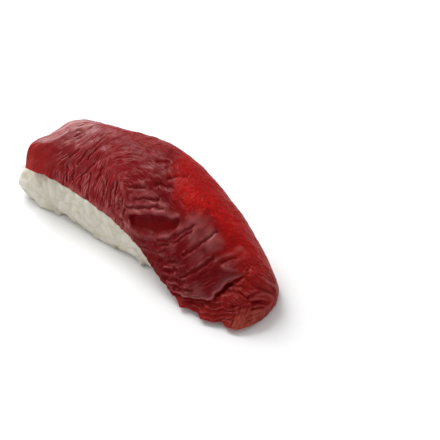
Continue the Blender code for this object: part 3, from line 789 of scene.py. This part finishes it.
def fields(x, up):
    """The slice's face at places along and up from the lip: heights and finish marks."""

    def lumpy(size, seed):
        return drift(x / size, up / size, seed)

    # Wandering copies of the places, and the zones: top, near half, bright far side, torn end
    warp = lumpy(4.0, 1)
    wobble_x = x + 0.3 * lumpy(1.7, 14)
    wobble_up = up + 0.3 * lumpy(1.7, 15)
    tossed_x = x + 0.5 * lumpy(2.8, 24) + 0.15 * lumpy(1.0, 29)
    tossed_up = up + 0.5 * lumpy(2.8, 25) + 0.15 * lumpy(1.0, 30)
    patchy = rise(lumpy(2.6, 26), -0.5, 0.5)
    top = rise(up - along(x, RIDGE_X, RIDGE_UP) + 0.5 * warp, -0.8, 1.0)
    past = rise(x - 3.0 - 0.35 * up + 0.5 * warp, -1.5, 1.5)
    low_half = rise((x - 0.8) * 0.77 - (up - 3.8) + 0.5 * warp, -0.6, 0.6) * past
    low_half = np.maximum(low_half, rise(x + 0.5 * warp, 13.5, 15.5))
    ragged_zone = 2.2 * warp + 0.9 * lumpy(1.3, 36)
    smooth = rise(up - along(x, BRIGHT_X, BRIGHT_UP) + ragged_zone, -2.6, 4.4)
    smooth *= 1 - rise(x, 33.0, 37.0)
    calm = 1 - 0.75 * smooth * (1 - 0.6 * rise(up, 26.0, 31.0))
    beyond, short = beyond_flap(wobble_x, wobble_up)
    edge_on = 1 - rise(up, 10.0, 13.5)
    torn = rise(beyond, 0.0, 0.5) * (1 - rise(up, 13.0, 17.0))

    # The muscle's strands, each zone with its own way across them: side, then top, then near
    fan = 0.75 * rise(-x, 8.0, 26.0)
    lean = fan * np.maximum(up - 2.5, 0.0)
    side_across = x - lean + 2.3 * (1 - np.exp(-up / 4)) + 0.35 * drift(x / 1.6, up / 2.5, 2)
    side_open = rise(drift(x / 1.9, up / 3.6, 4), -0.1, 0.5)
    side_slits = slits(side_across / 1.5, up / 9.0, 0.15, 3) * side_open
    side_crests = 0.8 * crests(side_across / 0.8, up / 9.0, 5)
    side_crests += 0.7 * crests(side_across / 0.42, up / 5.0, 20)

    bend = np.exp(-np.clip(x + 11.6, -9.0, 40.0) / 6.5)
    top_across = up - 5.6 * (1 - bend) + 0.35 * drift(x / 1.4, up / 2.2, 6)
    top_open = rise(drift(x / 2.8, up / 1.8, 8), -0.1, 0.5)
    top_slits = slits(top_across / 1.5, x / 6.5, 0.14, 7) * top_open
    top_crests = 0.8 * crests(top_across / 0.9, x / 5.0, 9)
    top_crests = top_crests + 0.8 * shingles(top_across / 1.1, x / 5.0, 21) - 0.35

    near_across = x - 17 * (1 - np.exp(-up / 9)) + 0.22 * drift(x / 1.8, up / 2.4, 10)
    low_down = 1 - rise(up, 6.0, 11.0)
    near_open = rise(drift(x / 2.4, up / 3.2, 12), -0.1, 0.4)
    near_slits = slits(near_across / 1.4, up / 8.0, 0.15, 11) * near_open * (0.25 + 0.75 * low_down)
    near_crests = crests(near_across / 1.1, up / 7.0, 13) + 0.6 * crests(near_across / 0.6, up / 5.0, 22)
    near_crests *= 0.45 + 0.55 * low_down
    near_crests += 1.6 * crests(near_across / 2.1, up / 5.0, 33)

    side = (1 - top) * (1 - low_half)
    over = top * (1 - low_half)
    near = low_half
    far_calm = 1 - 0.75 * rise(-x, 25.0, 29.0)
    slit = side * side_slits + 0.5 * over * top_slits + 0.7 * near * near_slits
    slit = slit * calm * far_calm * (1 - torn)
    strand = (side * side_crests + over * top_crests + near * near_crests) * calm * far_calm
    cut = traced(wobble_x, wobble_up, SIDE_SLITS, SLIT_HALF)
    bright = blurred(smooth, BRIGHT_FADE)
    groove = traced(wobble_x, wobble_up, GROOVES, GROOVE_HALF) * (1 - 0.6 * bright)
    thread = traced(wobble_x, wobble_up, THREADS, THREAD_HALF) * (0.35 + 0.65 * patchy)

    # The deep hollow, measured along and below its upper edge, and the soft ridges round it
    run_x = HOLLOW[2] - HOLLOW[0]
    run_up = HOLLOW[3] - HOLLOW[1]
    run = math.hypot(run_x, run_up)
    slow_x = x + 0.35 * lumpy(2.6, 34) - HOLLOW[0]
    slow_up = up + 0.35 * lumpy(2.6, 35) - HOLLOW[1]
    onward = (slow_x * run_x + slow_up * run_up) / run
    below = (slow_x * run_up - slow_up * run_x) / run
    wide = along(onward, HOLLOW_ALONG, HOLLOW_REACH)
    hollow = rise(below, -0.35, 0.45) * (1 - rise(below, 0.6 * wide, wide + 0.15))
    hollow *= rise(wide, 0.2, 1.4)
    off_end = np.maximum(-0.3 - onward, onward - run)
    near_by = np.maximum(np.maximum(-below, below - wide), off_end)
    by_hollow = 1 - rise(near_by, 0.2, 1.4)
    band = np.zeros(x.shape)
    for much, *line in BANDS:
        here = traced(slow_x + HOLLOW[0], slow_up + HOLLOW[1], (line,), BAND_HALF)
        band = np.maximum(band, much * here)
    band *= (0.45 + 0.55 * patchy) * (1 - hollow)
    strand *= 1 - 0.95 * by_hollow
    slit *= 1 - by_hollow

    # All forms added up: hollow, corners, lines, the flap's step, folds, then the fine ones
    height = -HOLLOW_DEPTH * hollow
    for x_at, up_at, reach, proud in CORNERS:
        height += proud * bell(np.hypot(x - x_at, up - up_at), reach)
    height -= SLIT_DEPTH * cut + GROOVE_DEPTH * groove * (1 - hollow)
    height += THREAD_PROUD * thread + BAND_PROUD * band
    height -= FLAP_STEP * np.clip(beyond / FLAP_SLOPE, 0, 1) * np.exp(-beyond / FLAP_FADE) * edge_on
    stand = np.zeros(x.shape)
    for half, proud, *line in FOLDS:
        fold = traced(tossed_x, tossed_up, (line,), half)
        stand = np.maximum(stand, proud * fold**0.7)
    for x_at, up_at, reach, depth in PITS:
        stand -= depth * bell(np.hypot(tossed_x - x_at, tossed_up - up_at), reach)
    height += stand * rise(beyond, 0.1, 0.7)
    strips = wobble_up - 0.22 * (x - 22.0) + 0.8 * warp
    strips_here = (1 - rise(strips, 2.2, 3.2)) * (1 - rise(x, 33.5, 35.0))
    tip = rise(x, 34.0, 35.2) * (1 - rise(up, 4.5, 6.5))
    fibres = crests(x / 0.55 + up / 5.0, up / 4.0, 17)
    shreds = crests((up + 0.5 * x) / 0.6, x / 3.0, 16)
    layers = STRIP_PROUD * shingles(strips / 1.2, x / 4.0, 28) * strips_here
    height += torn * (layers + FIBRE_PROUD * fibres * tip)
    height += torn * SHRED_PROUD * shreds * (1 - strips_here) * (1 - tip)
    lumps = LUMP_PROUD * np.abs(lumpy(1.7, 31))
    lumps += SMALL_LUMP_PROUD * np.abs(lumpy(0.8, 32))
    height += torn * lumps * (1 - 0.6 * strips_here) * (1 - 0.7 * rise(stand, 0.2, 0.6))
    beads = rise(x, 29.5, 32.0) * rise(up, 11.5, 13.0) * (1 - rise(up, 18.0, 20.5))
    height += beads * BEAD_PROUD * rise(lumpy(0.75, 23), 0.0, 0.5)
    slant = x * 0.8 - up * 0.45 + 1.2 * np.sin(up / 4.0)
    height += WAVE_PROUD * np.sin(2 * math.pi * slant / WAVE_PITCH) * (1 - smooth)
    height += SWELL_PROUD * warp + SMALL_SWELL_PROUD * lumpy(1.5, 27)
    height -= PARTING_DEPTH * slit
    height += (STRAND_PROUD + SIDE_STRAND_PROUD * side) * strand
    height += (NUB_PROUD + BRIGHT_NUB_PROUD * smooth) * lumpy(0.45, 19)

    # Marks for the material: what stands proud or lies low, what is wet, and which zone it is. The
    # material paints shade into what lies low and a pale highlight onto what stands proud.
    relief = height - blurred(height, RELIEF_REACH)
    lined = (side + 0.6 * over + near * (0.15 + 0.5 * low_down)) * calm * far_calm
    crest = rise(relief, 0.02, 0.14) * (1 - 0.8 * by_hollow) * (1 - 0.7 * smooth)
    flank = np.maximum(rise(up - 0.35 * (x - 8), 17.0, 24.0), 0.8 * rise(x, 18.0, 27.0))
    sheen = np.zeros(x.shape)
    for x_at, up_at, reach, much in SHEENS:
        away = np.hypot(wobble_x - x_at, wobble_up - up_at)
        sheen = np.maximum(sheen, much * rise(reach * 1.3 - away, 0.0, reach))
    sheen *= 0.55 + 0.45 * patchy
    # The flap's rim, which gets a painted grey sheen as well as a wet coat
    rim = bell(short, 1.0) * rise(x, 19, 23) * edge_on * (1 - torn)
    # The far top, which gets a painted pale sheen as well as a wet coat
    film = rise(-x, 17, 30) * rise(up, 7, 13)
    wet = 0.28 * side + 0.04 * over
    wet = wet * (1 - smooth) + 0.22 * sheen + 0.36 * rim + 0.12 * film
    wet *= (0.5 + 0.5 * patchy) * (1 - 0.85 * hollow) * (1 - 0.5 * torn)
    marks = {
        "over": over,
        "near": near,
        "side_across": side_across,
        "over_across": top_across,
        "near_across": near_across,
        "way_along": x,
        "way_up": up,
        "lined": lined * (1 - torn) * (1 - by_hollow),
        # Painted light: the flesh is coloured lighter towards the left end, where the lamp is
        "left": rise(10 - x, 0, 26),
        "film": film,
        "sheen": sheen,
        "wet": np.clip(wet, 0, 1),
        # Low places, which the material paints dark as shade
        "cavity": rise(-relief, 0.03, 0.22),
        # Proud places, which the material paints pale as a highlight
        "crest": crest * (1 - 0.35 * torn),
        "band": band,
        # Slits, which the material paints dark as shade
        "slit": np.maximum(slit, cut) * (1 - 0.5 * smooth),
        # Creases and the hollow, which the material paints dark as shade
        "crease": np.maximum(hollow, groove) * (1 - torn),
        # The bright zone, whose brighter red is partly a painted glow of light through the meat
        "bright": bright,
        "flank": smooth * flank,
        "margin": rise(1.8 - up, 0.0, 1.4) * rise(x, -26, -18) * rise(6 - x, 0, 6),
        "rim": rim,
        "torn": np.maximum(torn, beads * 0.8),
        "tip": torn * rise(x, 33.0, 36.5) * (1 - rise(up, 1.0, 6.0)),
        "fibre": rise(fibres, -0.2, 0.8),
        # Low places of the torn end, which the material paints dark as shade
        "pit": torn * rise(-height, 0.5, 1.6),
        # The far cut end, painted brighter red as a glow of light through the thin meat
        "far": rise(-x, 25.5, 30.5) * rise(9 - up, 0.0, 6.0),
        "blush": bell(x + 32.9, 0.8) * rise(8 - up, 0.0, 2.0),
    }
    return height, marks


def ragged(x, up):
    """The torn edge of the near end: how far the lip is pulled out or in."""
    tips = np.cos((x - RAGGED_TIP) * RAGGED_PITCH)
    nicks = np.sin(x * NICK_PITCH)
    grow = np.clip((x - RAGGED_FROM) / RAGGED_FADE, 0, 1)
    pull = (RAGGED_LEAST + RAGGED_OUT * tips + NICK_OUT * nicks) * grow
    level = np.zeros_like(x)
    wave = drift(x / LIP_WAVE_LONG, level, 37) + 0.5 * drift(x / LIP_WAVE_SHORT, level, 38)
    wave *= LIP_WAVE_OUT * (1 - grow) * (1 - rise(up, 0.0, LIP_WAVE_UP))
    return pull * np.exp(-up / RAGGED_FADE) * (up < RAGGED_UP) + wave


def slice_skin():
    """Points, faces and marks of the slice: outer face, inner face and both cut ends."""
    rows = np.linspace(STATIONS[0], STATIONS[-1], SLICE_ROWS)
    outer = np.empty((SLICE_ROWS, SLICE_OUTER, 3))
    inner = np.empty((SLICE_ROWS, SLICE_INNER, 3))
    ups = np.empty((SLICE_ROWS, SLICE_OUTER))
    for i, x in enumerate(rows):
        y, z, up = outer_line(x, SLICE_OUTER, SLICE_CROWD)
        outer[i] = np.stack([np.full(SLICE_OUTER, x), y, z], 1)
        inner_y, inner_z = inner_line(x, y, z, up, SLICE_INNER)
        inner[i] = np.stack([np.full(SLICE_INNER, x), inner_y, inner_z], 1)
        ups[i] = up
    # The outer face moves out along its own normals by the heights
    xs = outer[:, :, 0].copy()
    height, marks = fields(xs, ups)
    edge = np.minimum(ups, ups[:, -1:] - ups)
    height *= np.clip(edge / LIP_FLAT, LIP_LEAST, 1)
    across = np.gradient(outer, axis=1)
    lengthwise = np.gradient(outer, axis=0)
    out = np.cross(across, lengthwise)
    out /= np.linalg.norm(out, axis=2, keepdims=True)
    if out[SLICE_ROWS // 2, SLICE_OUTER // 2, 2] < 0:
        out = -out
    outer += out * height[:, :, None]
    outer[:, :, 1] -= ragged(xs, ups)
    # The middle line between both faces, towards which the cut ends round over and close
    loops = np.concatenate([outer, inner], 1)
    pick = np.linspace(0, SLICE_OUTER - 1, SLICE_INNER + 2)[1:-1][::-1]
    order = np.concatenate([np.arange(SLICE_OUTER), pick])
    deep = np.clip(order, MIDDLE_FROM, SLICE_OUTER - 1 - MIDDLE_FROM)
    middle = np.empty_like(loops)
    for i in range(SLICE_ROWS):
        for axis in range(3):
            over_line = np.interp(deep, order[:SLICE_OUTER], outer[i, :, axis])
            under_line = np.interp(deep, pick[::-1], inner[i, ::-1, axis])
            middle[i, :, axis] = (over_line + under_line) / 2
    left = np.clip(1 - (rows - rows[0]) / END_ROUND, 0, 1)
    pull = END_ROUND * (1 - np.sqrt(1 - left**2))
    away = np.linalg.norm(loops - middle, axis=2, keepdims=True)
    loops += (middle - loops) * np.minimum(pull[:, None, None] / away, PULL_MOST)
    loops[:, :, 2] = np.maximum(loops[:, :, 2], 0.0)
    middle[:, :, 2] = np.maximum(middle[:, :, 2], 0.0)
    around = SLICE_OUTER + SLICE_INNER
    cap_shares = np.linspace(0, 1, END_RINGS + 1)[1:-1]
    first_cap = [loops[0] + (middle[0] - loops[0]) * share for share in cap_shares[::-1]]
    last_cap = [loops[-1] + (middle[-1] - loops[-1]) * share for share in cap_shares]
    stack = first_cap + list(loops) + last_cap
    points = np.concatenate(stack)
    faces = loft_faces(len(stack), around)
    # Each quad of the outer face is split along its creases, not across them
    falling = np.abs(height[:-1, :-1] - height[1:, 1:])
    rising = np.abs(height[1:, :-1] - height[:-1, 1:])
    for i in range(SLICE_ROWS - 1):
        for j in range(SLICE_OUTER - 1):
            place = (len(first_cap) + i) * around + j
            a, a_next, b_next, b = faces[place]
            if falling[i, j] < rising[i, j]:
                faces[place] = (a, a_next, b_next)
                faces.append((a, b_next, b))
            else:
                faces[place] = (a, a_next, b)
                faces.append((a_next, b_next, b))
    # The innermost ring of each cut end is sewn up across its middle line
    last = (len(stack) - 1) * around
    for first in (0, last):
        under = around - 1
        for j in range(SLICE_OUTER - 1):
            faces.append((first + j, first + j + 1, first + under))
            if under > SLICE_OUTER and 2 * (j + 1) > order[under] + order[under - 1]:
                faces.append((first + j + 1, first + under - 1, first + under))
                under -= 1
    spread = {}
    for name, values in marks.items():
        inside = np.linspace(values[:, -1], values[:, 0], SLICE_INNER).T
        whole = np.concatenate([values, inside], 1)
        blank = np.ones((len(first_cap), around))
        cut_face = blank * CUT_FACE_MARKS.get(name, 0.0)
        torn_face = blank * TORN_FACE_MARKS.get(name, 0.0)
        spread[name] = np.concatenate([cut_face, whole, torn_face]).ravel()
    return points, faces, spread


# Fine lines between the strands: their pitch, their length and their width as a share
PARTINGS = (1.0, 7.0, 0.17)
SINEWS = (0.75, 5.0, 0.14)
# Colours of the flesh. The bright, far and blush reds are partly a painted glow of light through the
# meat; the sinew pink is partly, and the film pink and rim plum are, a painted sheen; the slit, cavity,
# crease and pit darks are painted shade.
DARK_FLESH = (0.12, 0.0015, 0.003, 1)
RED_FLESH = (0.27, 0.006, 0.009, 1)
BRIGHT_GLOW_FLESH = (0.43, 0.006, 0.004, 1)
FLANK_FLESH = (0.25, 0.002, 0.002, 1)
TORN_FLESH = (0.27, 0.010, 0.008, 1)
FAR_GLOW_FLESH = (0.38, 0.012, 0.012, 1)
BLUSH_GLOW_FLESH = (0.52, 0.03, 0.018, 1)
SINEW_AND_SHEEN_PINK = (0.42, 0.11, 0.11, 1)
TIP_PINK = (0.38, 0.085, 0.055, 1)
MARGIN_PINK = (0.46, 0.13, 0.12, 1)
RIM_SHEEN_PLUM = (0.22, 0.07, 0.075, 1)
FILM_SHEEN_PINK = (0.42, 0.19, 0.18, 1)
SLIT_SHADE = (0.15, 0.0005, 0.001, 1)
CAVITY_SHADE = (0.14, 0.0005, 0.001, 1)
CREASE_SHADE = (0.14, 0.0004, 0.0008, 1)
PIT_SHADE = (0.10, 0.0004, 0.0005, 1)


def muscle_lines(wire, across, length, other, shift):
    """Partings painted dark as shade and pale sinews, partly a painted sheen, between strands, from the
    way across and along them.
    """
    lines = []
    for number, (pitch, reach, width) in enumerate((PARTINGS, SINEWS)):
        level = shift + number * 2.0
        swing = wire.noise_over(across * (1 / pitch), length * (1 / reach), level, 0.35) * 2.0 - 1.0
        line = (1 - wire.maths("ABSOLUTE", swing) * (1 / width)).clamped()
        gate = wire.noise_over(other * 0.4, length * 0.3, level + 1.0, 0.5)
        lines.append(line * ((gate - 0.42) * 6.0).clamped())
    return lines


def raw_tuna():
    """Raw red tuna: deep red muscle with a wet film, painted shade in its slits, creases and pits, a
    painted sheen at its rims and ridges, and a painted glow where it is thin.
    """
    material, wire = blank_material("raw_tuna", (0.20, 0.022, 0.022, 1.0))
    mark = wire.mark
    bright = mark("bright")
    over = mark("over")
    near = mark("near")
    way_along = mark("way_along")
    way_up = mark("way_up")
    side_lines = muscle_lines(wire, mark("side_across"), way_up, way_along, 1.0)
    over_lines = muscle_lines(wire, mark("over_across"), way_along, way_up, 5.0)
    near_lines = muscle_lines(wire, mark("near_across"), way_up, way_along, 9.0)
    lined = mark("lined")
    parting, sinew = (
        (side * (1 - over - near) + top * over + end * near) * lined
        for side, top, end in zip(side_lines, over_lines, near_lines)
    )
    # Where the strands part, painted dark as shade
    slit = (parting + mark("slit") * 0.6).clamped()
    cloud = wire.noise(0.006, 2.0)
    dapple = wire.noise(0.0016, 3.0)
    fine = wire.noise(0.0005, 3.0)
    cavity = mark("cavity")
    crest = mark("crest")
    # Painted light and shade in the tone: lighter towards the lit left end and on crests, darker over
    # the near half, which the light reaches less; the cloud is the flesh's own uneven tone
    tone = 0.12 + cloud * 0.35 + mark("left") * 0.5 + crest * 0.25 - over * 0.08 - near * 0.1
    # Painted glints: tiny pale specks over the bright zone, fewer on its flanks
    glint = (wire.noise(0.0007, 2.0) * 4.0 - 1.0).clamped() * bright
    glint = glint * (1 - mark("flank") * 0.8) * 0.55
    # Pale sinews and crests: partly the flesh's paler tissue, partly a painted highlight on what stands
    # proud
    strands = sinew * (0.8 - over * 0.25 - near * 0.4)
    ridges = crest * (0.8 - near * 0.3 - over * 0.35) + mark("band") * 0.5
    # Each layer of colour covers the ones before it by its share
    layers = (
        # Brighter, more saturated red, partly the meat's own and partly a painted glow of light through
        # it
        (bright * (0.45 + bright * 0.45 + dapple), BRIGHT_GLOW_FLESH),
        (mark("flank") * (0.65 + dapple * 0.4), FLANK_FLESH),
        (mark("torn") * 0.65, TORN_FLESH),
        # Painted glow of light through the thin meat at the far cut end
        (mark("far") * 0.75, FAR_GLOW_FLESH),
        (mark("blush") * (0.6 + 0.4 * cloud), BLUSH_GLOW_FLESH),
        # Pale sinews, with painted highlights on crests and ridges, painted sheen on the wet patches and
        # painted glints
        ((strands + ridges + mark("sheen") * 0.42 + glint).clamped(), SINEW_AND_SHEEN_PINK),
        (mark("tip") * (mark("fibre") * 0.35 + 0.35), TIP_PINK),
        (mark("margin") * (0.3 + 0.3 * fine), MARGIN_PINK),
        # Painted grey sheen along the flap's rim
        (mark("rim") * 0.35, RIM_SHEEN_PLUM),
        # Painted sheen over the far top
        (mark("film") * (0.34 + 0.4 * cloud), FILM_SHEEN_PINK),
        # Painted shade in the slits and partings
        (slit * 0.9, SLIT_SHADE),
        # Painted shade in whatever lies low beside what is round it
        (cavity * 0.75, CAVITY_SHADE),
        # Painted shade in the creases and the hollow
        (mark("crease") * 0.8, CREASE_SHADE),
        # Painted shade in the pits of the torn end
        (mark("pit") * 0.75, PIT_SHADE),
    )
    flesh = wire.mixed(tone.clamped(), DARK_FLESH, RED_FLESH)
    for share, colour in layers:
        flesh = wire.mixed(share, flesh, colour)
    height = fine * (0.15 + bright * 0.3) + dapple * bright * 0.8 - slit * 0.8 + sinew * 0.35
    sockets = {
        "Base Color": flesh,
        "Roughness": 0.36 + fine * 0.08 + slit * 0.2,
        "Normal": wire.bump(height, 0.6, 0.00018),
        "IOR": 1.15,
        "Subsurface Weight": 0.25,
        "Subsurface Radius": (1.0, 0.12, 0.1),
        "Subsurface Scale": 0.0012,
        "Coat Weight": (mark("wet") * (1.3 - slit - cavity * 0.8)).clamped(),
        "Coat Roughness": 0.28,
    }
    wire.finish(sockets)
    return material


points, faces, spread = slice_skin()
tuna = skin_object("tuna_slice_meat", points, faces)
for name, values in spread.items():
    store(tuna.data, name, values)
tuna.data.materials.append(raw_tuna())
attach(tuna, "root")
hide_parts("tuna_slice")

# The table
# A plain white board, far wider than the view, so that no edge of it shows. The piece rests on
# it just clear of touching.

BOARD_WIDE = 3.0
BOARD_UNDER = 0.0001
BOARD_WHITE = (0.86, 0.86, 0.86, 1)
BOARD_PALE = (0.88, 0.88, 0.88, 1)


def white_board():
    """Smooth matt white, very faintly uneven."""
    material, wire = blank_material("white_board", BOARD_WHITE)
    mottle = wire.noise(0.02, 2.0)
    colour = wire.mixed(mottle * 0.5 + 0.5, BOARD_WHITE, BOARD_PALE)
    wire.finish({"Base Color": colour, "Roughness": 0.8})
    return material


bpy.ops.mesh.primitive_grid_add(x_subdivisions=8, y_subdivisions=8, size=BOARD_WIDE)
board = bpy.context.object
board.name = "white_board"
board.location.z = -BOARD_UNDER
board.data.materials.append(white_board())

# The light
# A white room gives light from all sides, and one large soft lamp above and behind the left
# end gives the shadow.

KEY_PLACE = Vector((-0.45, 0.12, 0.50))
KEY_SIZE = 0.45
KEY_POWER = 5.0
ROOM_STRENGTH = 0.62

room = bpy.data.worlds.new("white_room")
room.use_nodes = True
room_light = room.node_tree.nodes["Background"].inputs
room_light["Color"].default_value = (1.0, 1.0, 1.0, 1.0)
room_light["Strength"].default_value = ROOM_STRENGTH
bpy.context.scene.world = room
lamp = bpy.data.lights.new("soft_lamp", "AREA")
lamp.size = KEY_SIZE
lamp.energy = KEY_POWER
key = placed("soft_lamp", lamp)
key.location = KEY_PLACE
key.rotation_euler = (-KEY_PLACE).to_track_quat("-Z", "Y").to_euler()
bpy.context.scene.view_settings.view_transform = "Standard"

# The camera
# It stands off the near right corner and looks down, so that the piece runs away to the upper
# left.

AZIMUTH = math.radians(40)
ELEVATION = math.radians(40)
DISTANCE = 0.320
AIM = Vector((0.00895, 0.01686, 0.0))
FOCAL_PIXELS = 1280
FRAME_PIXELS = 440
SENSOR = 36.0

level = math.cos(ELEVATION)
back = Vector((math.sin(AZIMUTH) * level, -math.cos(AZIMUTH) * level, math.sin(ELEVATION)))
eye = bpy.data.cameras.new("camera")
eye.sensor_width = SENSOR
eye.lens = SENSOR * FOCAL_PIXELS / FRAME_PIXELS
camera = placed("camera", eye)
camera.location = AIM + back * DISTANCE
camera.rotation_euler = back.to_track_quat("Z", "Y").to_euler()
bpy.context.scene.camera = camera
